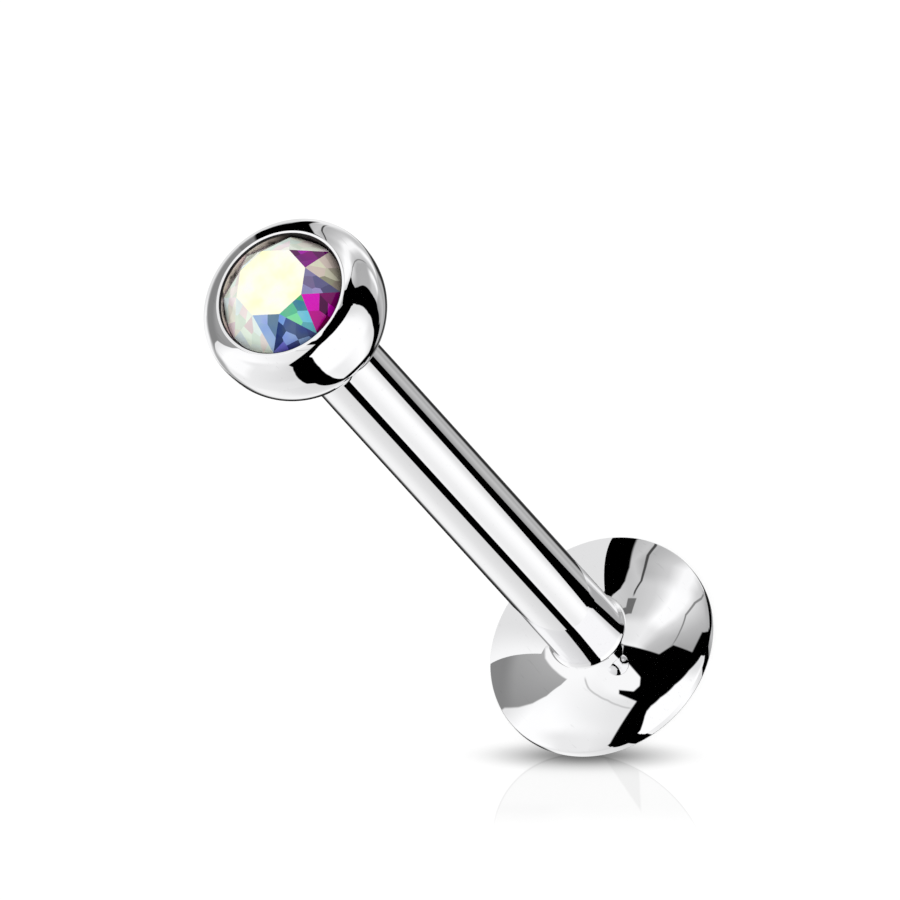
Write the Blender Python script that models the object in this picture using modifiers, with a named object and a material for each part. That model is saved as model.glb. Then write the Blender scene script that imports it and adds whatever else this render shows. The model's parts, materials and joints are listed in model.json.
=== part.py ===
"""A push-fit labret stud: a hollow post on a domed disc, and a stone-set ball with a bent pin.

The pin grips inside the post. The stud stands on the flat back of its disc, with +Z along the post.
Sizes are in metres, written as millimetres times MM.
"""

import math

import bmesh
import bpy
from mathutils import Matrix, Vector

MM = 0.001

# Post and disc
POST_DIAMETER = 1.2 * MM
WEAR_LENGTH = 10.58 * MM
BORE_DIAMETER = 0.9 * MM
BORE_RUN_OUT = 0.7 * MM
MOUTH_CHAMFER = 0.03 * MM
FOOT_FILLET = 0.08 * MM
DISC_DIAMETER = 3.71 * MM
DISC_EDGE = 0.2 * MM
EDGE_ROUND = 0.05 * MM
DOME_RADIUS = 3.2 * MM

# Ball and bezel
BALL_DIAMETER = 2.876 * MM
BALL_LOW_HALF = 1.25 * MM
BALL_RIM_HEIGHT = 0.55 * MM
LOW_SHAPE = 2.15
HIGH_SHAPE = 2.7
RIM_DIAMETER = 2.065 * MM
LIP_THICKNESS = 0.06 * MM
LIP_END = math.radians(60)
SHOULDER_START_IN_LIP_RADII = 1.5
SEAT_GAP = 0.02 * MM

# Stem under the ball, and its nick
STEM_GAP = 0.03 * MM
STEM_LENGTH = 1.5 * MM
STEM_CHAMFER = 0.04 * MM
SOCKET_DEPTH = 1.1 * MM
NICK_DIAMETER = 0.16 * MM
NICK_DEPTH = 0.07 * MM
NICK_SHARE_DOWN = 0.55
NICK_AZIMUTH = math.radians(180)
NICK_SIDES = 12

# Bent pin
PIN_DIAMETER = 0.46 * MM
PIN_REACH = 4.8 * MM
PIN_GAP = 0.03 * MM
TIP_DIAMETER = 0.58 * MM
TIP_LENGTH = 1.3 * MM
TIP_TAPER_IN_TIP_RADII = 0.5
BOW_PEAK_SHARE = 0.45
BOW_AZIMUTH = math.radians(0)

# Stone
STONE_GAP = 0.02 * MM
GIRDLE_DROP = 0.07 * MM
GIRDLE_THICKNESS = 0.14 * MM
TABLE_DIAMETER = 1.178 * MM
CROWN_HEIGHT = 0.45 * MM
PAVILION_DEPTH = 0.84 * MM
CULET_DIAMETER = 0.12 * MM
STONE_SIDES = 8

# Fineness of the round shapes
TURN_STEPS = 48
CURVE_STEPS = 12
PIN_STEPS = 28
PIN_BEVEL_RESOLUTION = 4
MERGE = 0.0005 * MM
FACET_CUT_TOLERANCE = 0.00005 * MM
FACET_WELD = 0.002 * MM

# Worked out from the sizes above
POST_RADIUS = POST_DIAMETER / 2
BORE_RADIUS = BORE_DIAMETER / 2
DISC_RADIUS = DISC_DIAMETER / 2
BALL_RADIUS = BALL_DIAMETER / 2
RIM_RADIUS = RIM_DIAMETER / 2
LIP_RADIUS = LIP_THICKNESS / 2
STEM_RADIUS = BORE_RADIUS - STEM_GAP
PIN_RADIUS = PIN_DIAMETER / 2
TIP_RADIUS = TIP_DIAMETER / 2
SOCKET_RADIUS = PIN_RADIUS + PIN_GAP
STONE_RADIUS = RIM_RADIUS - LIP_RADIUS - STONE_GAP
TABLE_RADIUS = TABLE_DIAMETER / 2
CULET_RADIUS = CULET_DIAMETER / 2
BORE_DEPTH = STEM_LENGTH + PIN_REACH + BORE_RUN_OUT

# A faceted point is wider at its corners than across its flats by this factor
CORNER = 1 / math.cos(math.pi / STONE_SIDES)
PAVILION_SLOPE = (STONE_RADIUS - CULET_RADIUS) / PAVILION_DEPTH

# The dome leaves the disc's round edge at this angle from the horizontal
DOME_ANGLE = math.asin((DISC_RADIUS - EDGE_ROUND) / (DOME_RADIUS - EDGE_ROUND))
DOME_CENTRE = DISC_EDGE - EDGE_ROUND - (DOME_RADIUS - EDGE_ROUND) * math.cos(DOME_ANGLE)
MOUTH_HEIGHT = DOME_CENTRE + DOME_RADIUS + WEAR_LENGTH
SEAT_HEIGHT = MOUTH_HEIGHT + SEAT_GAP


def share_of_height(radius, full_radius, exponent):
    """Height of a superellipse at this radius, as a share of its half height."""
    return (1 - (radius / full_radius) ** exponent) ** (1 / exponent)


EQUATOR_HEIGHT = SEAT_HEIGHT + BALL_LOW_HALF * share_of_height(POST_RADIUS, BALL_RADIUS, LOW_SHAPE)
RIM_HEIGHT = EQUATOR_HEIGHT + BALL_RIM_HEIGHT
GIRDLE_HEIGHT = RIM_HEIGHT - GIRDLE_DROP


def arc(centre_r, centre_z, radius, start, end, steps):
    """Points (r, z) along an arc of a profile, from one angle to another."""
    angles = [start + (end - start) * i / steps for i in range(steps + 1)]
    return [(centre_r + radius * math.cos(a), centre_z + radius * math.sin(a)) for a in angles]


def superellipse(radius, height, exponent, centre_z, start_radius, end_radius, steps):
    """Points (r, z) of a superellipse's quarter between two radii, evenly spread in angle.

    A minus height gives the lower quarter.
    """
    start = math.acos(min(1.0, (start_radius / radius) ** (exponent / 2)))
    end = math.acos(min(1.0, (end_radius / radius) ** (exponent / 2)))
    angles = [start + (end - start) * i / steps for i in range(steps + 1)]
    power = 2 / exponent
    across = [radius * math.cos(a) ** power for a in angles]
    up = [height * max(0.0, math.sin(a)) ** power for a in angles]
    return [(r, centre_z + z) for r, z in zip(across, up)]


def material(name, colour, roughness, metallic):
    """A Principled material of one colour."""
    made = bpy.data.materials.new(name)
    made.use_nodes = True
    shader = made.node_tree.nodes["Principled BSDF"]
    shader.inputs["Base Color"].default_value = (*colour, 1)
    shader.inputs["Roughness"].default_value = roughness
    shader.inputs["Metallic"].default_value = metallic
    return made


def add_object(name, data, collection, height=0.0):
    """Links an object that sits on the post's axis at this height."""
    made = bpy.data.objects.new(name, data)
    made.location = (0, 0, height)
    collection.objects.link(made)
    return made


def turned(name, profile, height, collection):
    """A solid of revolution about +Z.

    The profile runs from the axis, down the outer side, and back to the axis.
    """
    mesh = bpy.data.meshes.new(name)
    points = [(r, 0, z - height) for r, z in profile]
    mesh.from_pydata(points, [(i, i + 1) for i in range(len(points) - 1)], [])
    made = add_object(name, mesh, collection, height)
    screw = made.modifiers.new("Turn", "SCREW")
    screw.steps = TURN_STEPS
    screw.render_steps = TURN_STEPS
    screw.use_merge_vertices = True
    screw.merge_threshold = MERGE
    screw.use_smooth_shade = True
    return made


def post_profile():
    """From the bore's floor to the mouth, down the post, over the dome and its edge, and along the back."""
    bore_floor = MOUTH_HEIGHT - BORE_DEPTH
    fillet_reach = DOME_RADIUS + FOOT_FILLET
    fillet_r = POST_RADIUS + FOOT_FILLET
    fillet_z = DOME_CENTRE + math.sqrt(fillet_reach**2 - fillet_r**2)
    dome_start = math.atan2(fillet_z - DOME_CENTRE, fillet_r)
    dome_end = math.pi / 2 - DOME_ANGLE
    edge_r = DISC_RADIUS - EDGE_ROUND
    edge_top = DISC_EDGE - EDGE_ROUND
    edge_steps = CURVE_STEPS // 3
    mouth = [
        (0, bore_floor),
        (BORE_RADIUS, bore_floor),
        (BORE_RADIUS, MOUTH_HEIGHT - MOUTH_CHAMFER),
        (BORE_RADIUS + MOUTH_CHAMFER, MOUTH_HEIGHT),
        (POST_RADIUS - MOUTH_CHAMFER, MOUTH_HEIGHT),
        (POST_RADIUS, MOUTH_HEIGHT - MOUTH_CHAMFER),
    ]
    fillet = arc(fillet_r, fillet_z, FOOT_FILLET, math.pi, math.pi + dome_start, CURVE_STEPS // 2)
    dome = arc(0, DOME_CENTRE, DOME_RADIUS, dome_start, dome_end, CURVE_STEPS // 2)
    edge = arc(edge_r, edge_top, EDGE_ROUND, dome_end, 0, edge_steps)
    back_edge = arc(edge_r, EDGE_ROUND, EDGE_ROUND, 0, -math.pi / 2, edge_steps)
    return mouth + fillet + dome[1:] + edge[1:] + back_edge + [(0, 0)]


def ball_profile():
    """From the recess's floor up to the lip, down the ball's outline, down the stem, and up its socket."""
    girdle_low = GIRDLE_HEIGHT - GIRDLE_THICKNESS
    cone_start = girdle_low - STONE_RADIUS * (1 - 1 / CORNER) / PAVILION_SLOPE
    floor_r = CULET_RADIUS * CORNER + STONE_GAP
    floor_z = girdle_low - PAVILION_DEPTH - STONE_GAP
    high_half = BALL_RIM_HEIGHT / share_of_height(RIM_RADIUS + LIP_RADIUS, BALL_RADIUS, HIGH_SHAPE)
    recess = [(0, floor_z), (floor_r, floor_z), (RIM_RADIUS - LIP_RADIUS, cone_start)]
    lip = arc(RIM_RADIUS, RIM_HEIGHT - LIP_RADIUS, LIP_RADIUS, math.pi, LIP_END, CURVE_STEPS // 3)
    shoulder_start = RIM_RADIUS + SHOULDER_START_IN_LIP_RADII * LIP_RADIUS
    shoulder = superellipse(
        BALL_RADIUS, high_half, HIGH_SHAPE, EQUATOR_HEIGHT, shoulder_start, BALL_RADIUS, CURVE_STEPS
    )
    belly = superellipse(
        BALL_RADIUS, -BALL_LOW_HALF, LOW_SHAPE, EQUATOR_HEIGHT, BALL_RADIUS, POST_RADIUS, CURVE_STEPS
    )
    stem_end = SEAT_HEIGHT - STEM_LENGTH
    stem = [
        (STEM_RADIUS, SEAT_HEIGHT),
        (STEM_RADIUS, stem_end + STEM_CHAMFER),
        (STEM_RADIUS - STEM_CHAMFER, stem_end),
        (SOCKET_RADIUS, stem_end),
        (SOCKET_RADIUS, stem_end + SOCKET_DEPTH),
        (0, stem_end + SOCKET_DEPTH),
    ]
    return recess + lip + shoulder + belly[1:] + stem


def nick_cutter(collection):
    """A small pin that cuts the nick into the stem's side."""
    length = 2 * NICK_DIAMETER
    centre_r = STEM_RADIUS - NICK_DEPTH + length / 2
    centre_z = SEAT_HEIGHT - NICK_SHARE_DOWN * STEM_LENGTH
    mesh = bpy.data.meshes.new("nick_cutter")
    shape = bmesh.new()
    bmesh.ops.create_cone(
        shape,
        cap_ends=True,
        segments=NICK_SIDES,
        radius1=NICK_DIAMETER / 2,
        radius2=NICK_DIAMETER / 2,
        depth=length,
        matrix=Matrix.Rotation(math.pi / 2, 4, "Y"),
    )
    shape.to_mesh(mesh)
    shape.free()
    cutter = add_object("nick_cutter", mesh, collection)
    cutter.location = (centre_r * math.cos(NICK_AZIMUTH), centre_r * math.sin(NICK_AZIMUTH), centre_z)
    cutter.rotation_euler.z = NICK_AZIMUTH
    cutter.hide_render = True
    cutter.display_type = "WIRE"
    return cutter


def bow(share):
    """How far the pin's middle line leaves the axis, at a share of its reach below the stem."""
    peak = BORE_RADIUS - PIN_RADIUS - PIN_GAP
    end = BORE_RADIUS - TIP_RADIUS - PIN_GAP
    if share < BOW_PEAK_SHARE:
        return peak * (1 - math.cos(math.pi * share / BOW_PEAK_SHARE)) / 2
    past = (share - BOW_PEAK_SHARE) / (1 - BOW_PEAK_SHARE)
    return peak - (peak + end) * (1 - math.cos(math.pi / 2 * past))


def add_pin(collection, look):
    """The bowed wire from its seat in the socket to its thicker, round-ended tip."""
    stem_end = SEAT_HEIGHT - STEM_LENGTH
    tip_start = PIN_REACH - TIP_LENGTH
    curve = bpy.data.curves.new("bent_pin", "CURVE")
    curve.dimensions = "3D"
    curve.bevel_depth = PIN_RADIUS
    curve.bevel_resolution = PIN_BEVEL_RESOLUTION
    curve.use_fill_caps = True
    depths = [-(SOCKET_DEPTH - PIN_GAP)] + [PIN_REACH * i / PIN_STEPS for i in range(PIN_STEPS + 1)]
    taper = TIP_TAPER_IN_TIP_RADII * TIP_RADIUS
    spline = curve.splines.new("POLY")
    spline.points.add(len(depths) - 1)
    for point, depth in zip(spline.points, depths):
        off = bow(depth / PIN_REACH) if depth > 0 else 0.0
        swell = min(1.0, max(0.0, (depth - tip_start) / taper))
        left = (PIN_REACH - depth) / taper
        rounding = math.sqrt(1 - (1 - min(1.0, left)) ** 2 / 2)
        radius = (PIN_RADIUS + (TIP_RADIUS - PIN_RADIUS) * swell) * rounding
        point.co = (off * math.cos(BOW_AZIMUTH), off * math.sin(BOW_AZIMUTH), -depth, 1)
        point.radius = radius / PIN_RADIUS
    pin = add_object("bent_pin", curve, collection, stem_end)
    curve.materials.append(look)
    return pin


def corners(radius, height, turn):
    """The stone's eight corners at a radius and a height, turned on by a share of one side."""
    step = 2 * math.pi / STONE_SIDES
    angles = [(i + turn) * step for i in range(STONE_SIDES)]
    return [Vector((radius * math.cos(a), radius * math.sin(a), height)) for a in angles]


def facet_planes():
    """(point, outward normal) of each facet of the stone, counted from the girdle's top edge."""
    table = corners(TABLE_RADIUS, CROWN_HEIGHT, -0.5)
    girdle = corners(STONE_RADIUS, 0, 0)
    outward = corners(1, 0, 0)
    planes = []
    for i in range(STONE_SIDES):
        following = (i + 1) % STONE_SIDES
        star = (table[following] - girdle[i]).cross(table[i] - girdle[i]).normalized()
        kite = (girdle[following] - table[following]).cross(girdle[i] - table[following]).normalized()
        planes.append((girdle[i], star if star.z > 0 else -star))
        planes.append((table[following], kite if kite.z > 0 else -kite))
        pavilion = outward[i] * PAVILION_DEPTH - Vector((0, 0, STONE_RADIUS - CULET_RADIUS))
        planes.append((girdle[i] - Vector((0, 0, GIRDLE_THICKNESS)), pavilion.normalized()))
    return planes


def add_crystal(collection, look):
    """A round bar cut by the planes of the stone's facets."""
    shape = bmesh.new()
    bottom = -GIRDLE_THICKNESS - PAVILION_DEPTH
    bmesh.ops.create_cone(
        shape,
        cap_ends=True,
        segments=TURN_STEPS,
        radius1=STONE_RADIUS,
        radius2=STONE_RADIUS,
        depth=CROWN_HEIGHT - bottom,
        matrix=Matrix.Translation((0, 0, (CROWN_HEIGHT + bottom) / 2)),
    )
    for point, normal in facet_planes():
        cut = bmesh.ops.bisect_plane(
            shape,
            geom=shape.verts[:] + shape.edges[:] + shape.faces[:],
            dist=FACET_CUT_TOLERANCE,
            plane_co=point,
            plane_no=normal,
            clear_outer=True,
        )
        rim = [piece for piece in cut["geom_cut"] if isinstance(piece, bmesh.types.BMEdge)]
        bmesh.ops.edgeloop_fill(shape, edges=rim)
    bmesh.ops.remove_doubles(shape, verts=shape.verts, dist=FACET_WELD)
    bmesh.ops.recalc_face_normals(shape, faces=shape.faces)
    mesh = bpy.data.meshes.new("crystal")
    shape.to_mesh(mesh)
    shape.free()
    mesh.materials.append(look)
    return add_object("crystal", mesh, collection, GIRDLE_HEIGHT)


def main():
    for old in list(bpy.data.objects):
        bpy.data.objects.remove(old)
    parts = bpy.data.collections.new("labret_stud")
    cutters = bpy.data.collections.new("cutters")
    for collection in (parts, cutters):
        bpy.context.scene.collection.children.link(collection)

    polished_post = material("polished_steel_post", (0.83, 0.83, 0.85), 0.04, 1.0)
    polished_ball = material("polished_steel_ball", (0.83, 0.83, 0.85), 0.04, 1.0)
    drawn_wire = material("drawn_steel_wire", (0.78, 0.78, 0.80), 0.12, 1.0)
    aurora = material("aurora_crystal", (0.80, 0.78, 0.95), 0.02, 0.0)

    post = turned("post_and_disc", post_profile(), 0.0, parts)
    post.data.materials.append(polished_post)

    top = bpy.data.objects.new("top", None)
    top.location = (0, 0, SEAT_HEIGHT)
    top.empty_display_size = BALL_RADIUS
    parts.objects.link(top)

    ball = turned("ball_setting", ball_profile(), SEAT_HEIGHT, parts)
    ball.data.materials.append(polished_ball)
    nick = ball.modifiers.new("Nick", "BOOLEAN")
    nick.operation = "DIFFERENCE"
    nick.solver = "EXACT"
    nick.object = nick_cutter(cutters)

    pin = add_pin(parts, drawn_wire)
    stone = add_crystal(parts, aurora)
    for piece in (ball, pin, stone, nick.object):
        piece.parent = top
        piece.matrix_parent_inverse = Matrix.Translation((0, 0, -SEAT_HEIGHT))


main()
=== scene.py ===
"""Looks of the labret stud: fine polished meshes, the aurora-coated stone, and a plain white studio.

The CAD solids stay the frame. Everything here is in metres, with +Z along the post and the disc's back
at z = 0.
"""

import colorsys
import itertools
import json
import math
import random

import bmesh
import bpy
from mathutils import Matrix, Vector

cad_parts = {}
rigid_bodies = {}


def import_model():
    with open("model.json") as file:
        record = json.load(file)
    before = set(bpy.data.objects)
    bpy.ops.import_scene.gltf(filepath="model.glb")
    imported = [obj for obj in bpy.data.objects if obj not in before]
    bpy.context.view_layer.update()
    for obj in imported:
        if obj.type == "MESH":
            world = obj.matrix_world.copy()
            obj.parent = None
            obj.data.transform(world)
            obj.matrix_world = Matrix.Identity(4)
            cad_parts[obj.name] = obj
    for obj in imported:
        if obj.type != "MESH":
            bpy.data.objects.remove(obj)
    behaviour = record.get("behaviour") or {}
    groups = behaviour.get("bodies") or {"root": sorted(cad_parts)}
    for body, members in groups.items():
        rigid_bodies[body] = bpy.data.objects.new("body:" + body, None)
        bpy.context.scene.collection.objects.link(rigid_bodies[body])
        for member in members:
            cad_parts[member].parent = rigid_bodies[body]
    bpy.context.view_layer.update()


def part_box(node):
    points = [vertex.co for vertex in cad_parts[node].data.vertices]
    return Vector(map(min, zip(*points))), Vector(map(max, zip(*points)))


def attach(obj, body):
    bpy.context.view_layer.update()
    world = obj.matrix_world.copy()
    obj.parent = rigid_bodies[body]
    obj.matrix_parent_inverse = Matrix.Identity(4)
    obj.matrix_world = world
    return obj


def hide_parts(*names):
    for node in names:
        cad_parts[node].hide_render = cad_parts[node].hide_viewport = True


MM = 0.001

# Sizes that the frame's boxes don't give
POST_DIAMETER = 1.2 * MM
BORE_DIAMETER = 0.9 * MM
BORE_RUN_OUT = 0.7 * MM
MOUTH_CHAMFER = 0.03 * MM
FOOT_FILLET = 0.08 * MM
DISC_EDGE = 0.2 * MM
EDGE_ROUND = 0.05 * MM
DOME_RADIUS = 3.2 * MM
BALL_LOW_HALF = 1.25 * MM
BALL_RIM_HEIGHT = 0.55 * MM
LOW_SHAPE = 2.15
HIGH_SHAPE = 2.7
RIM_DIAMETER = 2.065 * MM
LIP_THICKNESS = 0.06 * MM
LIP_LAND = 0.026 * MM
SEAT_GAP = 0.02 * MM
STEM_GAP = 0.03 * MM
STEM_LENGTH = 1.5 * MM
STEM_CHAMFER = 0.04 * MM
SOCKET_DEPTH = 1.1 * MM
NICK_DIAMETER = 0.16 * MM
NICK_DEPTH = 0.07 * MM
NICK_SHARE_DOWN = 0.55
NICK_AZIMUTH = math.radians(180)
PIN_DIAMETER = 0.46 * MM
PIN_REACH = 4.8 * MM
PIN_GAP = 0.03 * MM
TIP_DIAMETER = 0.58 * MM
TIP_LENGTH = 1.3 * MM
BOW_PEAK_SHARE = 0.45
STONE_GAP = 0.02 * MM
GIRDLE_DROP = 0.07 * MM
GIRDLE_THICKNESS = 0.14 * MM
TABLE_DIAMETER = 1.178 * MM
CROWN_HEIGHT = 0.45 * MM
PAVILION_DEPTH = 0.84 * MM
CULET_DIAMETER = 0.12 * MM
STONE_SIDES = 8

# Fineness of the visual meshes
TURN_STEPS = 256
ARC_STEPS = 24
SMALL_ARC_STEPS = 8
LIP_STEPS = 10
LAND_STEPS = 12
PIN_STEPS = 96
MERGE = 0.0005 * MM
SHARP_ANGLE = math.radians(32)
SAME_FACET = math.cos(math.radians(2))

# How far up the lip the recess's painted shade reaches, as shares of the lip's radius
SHADE_INSET = 0.3
SHADE_RISE = 0.96

# Fineness of the clouded tints in the stone, and of the streaks of painted light on the recess's wall
CLOUD_SCALE = 1 / (0.4 * MM)
STREAK_SCALE = 1 / (0.22 * MM)

# Fineness of the steel's cloudy polish, of its hairline scratches and of the wire's drawing lines
POLISH_SCALE = 1 / (0.6 * MM)
POLISH_ROUGHNESS = 0.014
SCRATCH_SCALE = 1 / (0.05 * MM)
SCRATCH_ROUGHNESS = 0.012
WIRE_LINE_SCALE = 1 / (0.03 * MM)

# The camera looks down on the stone end, and is rolled as the stud lies askew in the picture. A longer lens
# would stand so far off that views from other sides cut the stud away.
VIEW_TILT = math.radians(34.7)
VIEW_ROLL = math.radians(42.2)
HALF_VIEW = math.radians(0.62)
PICTURE_WIDTH = 13.91 * MM
MIDDLE_ACROSS = -2.361 * MM
MIDDLE_UP = 3.067 * MM
MIDDLE_DEPTH = 5.2 * MM
AIM_HEIGHT = 0.1 * MM

# The coating's colours as the crown's facets show them, painted in as fixed reflections of the coated
# pavilion. Facets are counted round from +X, a star at each even number and a kite at each odd one. A family
# is its hue and how far that strays, in degrees, its saturation, and its darkest and brightest value.
AURORA_FAMILIES = {
    0: (297, 10, 0.90, 0.34, 0.62),
    10: (214, 8, 0.32, 0.35, 0.97),
    11: (228, 12, 0.45, 0.40, 0.93),
    12: (165, 30, 0.50, 0.25, 0.92),
    13: (315, 10, 0.85, 0.30, 0.85),
    14: (248, 10, 0.22, 0.42, 0.90),
    15: (40, 20, 0.12, 0.55, 0.86),
}
PALE_FAMILY = (80, 110, 0.06, 0.84, 0.96)

# The straight-edged patches in the facets, painted reflections of the pavilion's facets: rings of them, by
# reach as a share of the stone's radius, and their number. Each spot strays a little along its ring and
# across it. A dark patch is the more saturated.
PATCH_RINGS = [(0.62, 26), (0.74, 26), (0.86, 28), (0.95, 28)]
PATCH_SWAY = 0.3
PATCH_REACH_SWAY = 0.03
PATCH_SEED = 3
DARK_SATURATION = 1.15
SATURATION_DROP = 0.3
# The table's cream is a painted reflection of the pavilion below it; the second tint is for the pavilion's
# and girdle's faces
TABLE_TINT = (255, 252, 226)
PAVILION_TINT = (196, 188, 226)

# A bright card stands close behind the stud, and only mirrors see it
REAR_CARD_DISTANCE = 11 * MM
REAR_CARD_START = -6.3 * MM
REAR_CARD_END = 4.9 * MM
REAR_CARD_FOOT = -6 * MM
REAR_CARD_TOP = 10.2 * MM
REAR_CARD_LEVELS = (0.97, 0.88)
BLACK = (0.0, 0.0)

# A black wedge lies flat just above the floor beside the disc: corners (across, ahead) in millimetres
WEDGE_HEIGHT = 0.01 * MM
WEDGE_CORNERS = [(1.32, 1.54), (1.87, 0.46), (3.5, 0.9), (6.9, 1.62), (5.9, 3.86), (3.6, 2.68)]

# A black flag stands on the right above the ball: corners (y, z) in millimetres
SIDE_FLAG_DISTANCE = 4 * MM
SIDE_FLAG_CORNERS = [
    (-0.08, 16.03), (-0.27, 17.06), (-0.5, 17.99), (-0.28, 19.01), (-1.47, 20.34), (-2.8, 20.34),
    (-2.8, 16.8), (-2.15, 15.7), (-1.47, 15.6), (-0.65, 16.15),
]

# The painted soft contact shadow on the floor, below the disc as the picture shows it, and the disc's faint
# painted mirror image. Places are across and down the picture from the axis's foot, on the floor.
SHADOW_ACROSS = -0.298 * MM
SHADOW_DOWN = 1.646 * MM
SHADOW_HALF_WIDTH = 1.03 * MM
SHADOW_HALF_HEIGHT = 0.150 * MM
SHADOW_DEPTH = 0.517
PAINTED_REFLECTION_ACROSS = -0.04 * MM
PAINTED_REFLECTION_DOWN = 3.30 * MM
PAINTED_REFLECTION_HALF_WIDTH = 1.855 * MM
PAINTED_REFLECTION_HALF_HEIGHT = 1.525 * MM
PAINTED_REFLECTION_TAIL_DOWN = 1.86 * MM
PAINTED_REFLECTION_WEDGE_DOWN = 2.33 * MM
PAINTED_REFLECTION_FADE_START = 2.4 * MM
PAINTED_REFLECTION_FADE_END = 3.0 * MM
PAINTED_REFLECTION_BODY_DEPTH = 0.030
PAINTED_REFLECTION_RIM_DEPTH = 0.035
PAINTED_REFLECTION_TAIL_DEPTH = 0.03
PAINTED_REFLECTION_WEDGE_DEPTH = 0.008

# The floor's own faint glow keeps it white beside the disc. Its grain is very fine.
FLOOR_GLOW = 3.0
FLOOR_LIFT = 0.06
FLOOR_GRAIN = 1 / (0.4 * MM)

# Light that matt surfaces get, the colours of the steel and the wire, and the recess wall's painted shade
# and painted light
ROOM_LIGHT = 1.12
STEEL_COLOUR = (0.93, 0.93, 0.94)
SCRATCHED_COLOUR = (0.86, 0.86, 0.87)
WIRE_DARK = (0.62, 0.61, 0.60)
WIRE_PALE = (0.86, 0.85, 0.84)
RECESS_PAINTED_SHADE = (0.012, 0.010, 0.012)
RECESS_PAINTED_LIGHT = (0.95, 0.80, 0.74)


def linear(level):
    """The linear value of a grey or colour channel that shows at this level, 0 to 1, in the picture."""
    return level / 12.92 if level <= 0.04045 else ((level + 0.055) / 1.055) ** 2.4


def shown(red, green, blue):
    """A linear colour from its 8-bit display values."""
    return tuple(linear(channel / 255) for channel in (red, green, blue)) + (1.0,)


class Sums:
    """Writes sums as the Math nodes of one node tree."""

    def __init__(self, tree):
        self.tree = tree

    def node(self, kind, **settings):
        made = self.tree.nodes.new(kind)
        for name, value in settings.items():
            setattr(made, name, value)
        return made

    def feed(self, socket, value):
        if isinstance(value, bpy.types.NodeSocket):
            self.tree.links.new(value, socket)
        else:
            socket.default_value = value

    def maths(self, operation, *values):
        made = self.node("ShaderNodeMath", operation=operation)
        for socket, value in zip(made.inputs, values):
            self.feed(socket, value)
        return made.outputs[0]

    def add(self, a, b):
        return self.maths("ADD", a, b)

    def minus(self, a, b):
        return self.maths("SUBTRACT", a, b)

    def times(self, a, b):
        return self.maths("MULTIPLY", a, b)

    def over(self, a, b):
        return self.maths("DIVIDE", a, b)

    def rise(self, value, low, high):
        """0 below low, 1 above high, and smooth between."""
        made = self.node("ShaderNodeMapRange", interpolation_type="SMOOTHSTEP", clamp=True)
        self.feed(made.inputs["Value"], value)
        made.inputs["From Min"].default_value = low
        made.inputs["From Max"].default_value = high
        return made.outputs["Result"]

    def above(self, value, edge, soft):
        """1 where value is over an edge, with a soft border of this width."""
        if isinstance(edge, bpy.types.NodeSocket):
            return self.rise(self.minus(value, edge), -soft / 2, soft / 2)
        return self.rise(value, edge - soft / 2, edge + soft / 2)

    def below(self, value, edge, soft):
        return self.minus(1.0, self.above(value, edge, soft))

    def between(self, value, low, high, soft):
        return self.times(self.above(value, low, soft), self.below(value, high, soft))

    def both(self, *masks):
        """The product of several masks."""
        result = masks[0]
        for mask in masks[1:]:
            result = self.times(result, mask)
        return result

    def mix(self, under, over, mask):
        made = self.node("ShaderNodeMix", data_type="FLOAT")
        self.feed(made.inputs["Factor"], mask)
        self.feed(made.inputs["A"], under)
        self.feed(made.inputs["B"], over)
        return made.outputs["Result"]

    def line(self, value, points):
        """Height of a line through (place, height) points at this value."""
        low = min(height for _, height in points)
        span = max(height for _, height in points) - low
        stops = [(place, (height - low) / span) for place, height in points]
        return self.add(low, self.times(span, self.ramp(value, stops)))

    def ramp(self, value, stops):
        """A piecewise-linear function of value: stops are (place, result), with results from 0 to 1."""
        low, high = stops[0][0], stops[-1][0]
        made = self.node("ShaderNodeValToRGB")
        share = self.node("ShaderNodeMapRange", clamp=True)
        self.feed(share.inputs["Value"], value)
        share.inputs["From Min"].default_value = low
        share.inputs["From Max"].default_value = high
        self.feed(made.inputs["Fac"], share.outputs["Result"])
        elements = made.color_ramp.elements
        while len(elements) < len(stops):
            elements.new(1.0)
        for element, (place, result) in zip(elements, stops):
            element.position = (place - low) / (high - low)
            element.color = (result, result, result, 1)
        return made.outputs["Color"]


# The studio that polished steel mirrors, in degrees. Azimuth 0 is -Y and 90 is +X, and elevation 90 is
# straight up. Each line is an edge of a screen, flag or wall: (elevation, azimuth) for upright ones, and
# (azimuth, elevation) for level ones. Places and levels are fitted to what the steel mirrors in the picture.
WALL_EDGE = [
    (-60, -128), (-20, -131), (0, -134), (13, -134.2), (24, -129.4), (34, -126.2), (44, -125.2), (54, -128),
    (58, -131.2),
]
WALL_TOP = [(-180, 30), (-150, 42), (-140, 51), (-131, 58)]
LEFT_SCREEN_END = [
    (-65, -43), (-53, -42.5), (-45, -47), (-35, -46), (-20, -45), (0, -45.5), (20, -47), (40, -51),
    (47, -58),
]
STRIP_CENTRE = [(12, 120), (20, 122), (30, 118), (36, 114), (42, 111), (50, 109), (60, 110)]
MAIN_SCREEN_START = [
    (-72, -23), (-50, -22.5), (-30, -21), (0, -20.5), (20, -22), (40, -24), (47, -25.3), (51, -28.5),
    (54, -31.5),
]
MAIN_SCREEN_END = [(-65, 59), (-53, 59), (-35, 56), (-20, 54), (0, 55), (20, 57.5), (35, 60), (50, 66)]
MAIN_SCREEN_TOP = [
    (-31, 52), (-28.8, 53.3), (-25.7, 55.5), (-22, 57.8), (-17, 60.8), (-12, 62.7), (-4, 63.7), (12, 63.2),
    (33, 59.6), (51, 53.5), (62, 47.7), (68, 43),
]
RIGHT_WALL_START = [
    (-65, 80.3), (-50, 80.3), (-40, 77), (-30, 74.5), (-15, 74), (0, 76), (20, 79.5), (35, 81), (42, 83),
]
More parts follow.
